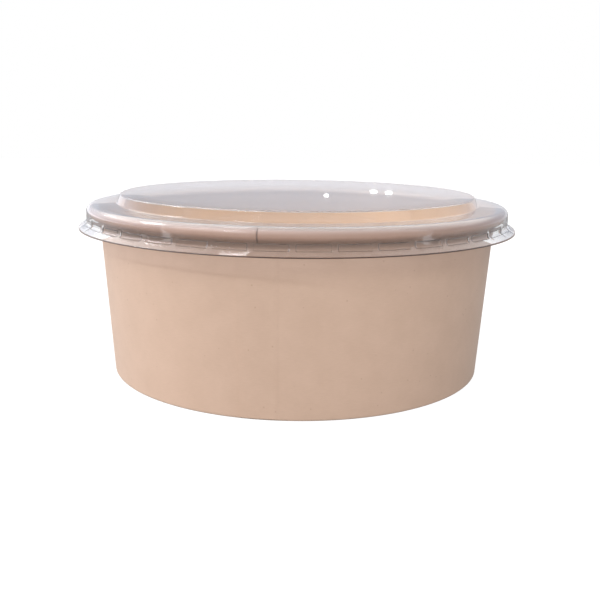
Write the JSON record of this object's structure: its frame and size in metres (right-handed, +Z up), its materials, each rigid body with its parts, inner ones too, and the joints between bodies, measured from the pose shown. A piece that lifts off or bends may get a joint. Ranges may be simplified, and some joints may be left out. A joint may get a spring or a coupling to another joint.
{
  "type": "takeout bowl with lid",
  "caption": "Round kraft paperboard takeout bowl with a rolled rim, a lapped side seam and a recessed base, closed by a clear formed press-on lid with a raised centre and a flared brim.",
  "frame": {"origin": "centre of the foot, on the surface that the bowl stands on", "axes": "+Z up along the bowl's axis, -Y towards the front, where the lapped seam is just to the left of the middle, +X to the right"},
  "size_m": [0.1572, 0.1572, 0.0635],
  "materials": {
    "kraft_board": "uncoated brown kraft outside, thin clear film inside",
    "kraft_board_base": "brown kraft, thin clear film inside",
    "clear_sheet": "clear, glossy, thermoformed"
  },
  "bodies": {
    "bowl": {"side_wall": "kraft_board", "base_disc": "kraft_board_base"},
    "lid": {"lid": "clear_sheet"}
  },
  "joints": [
    {"name": "lid_lift", "type": "slide", "parent": "bowl", "child": "lid", "axis": [0, 0, 1], "range_m": [0, 0.04]}
  ]
}
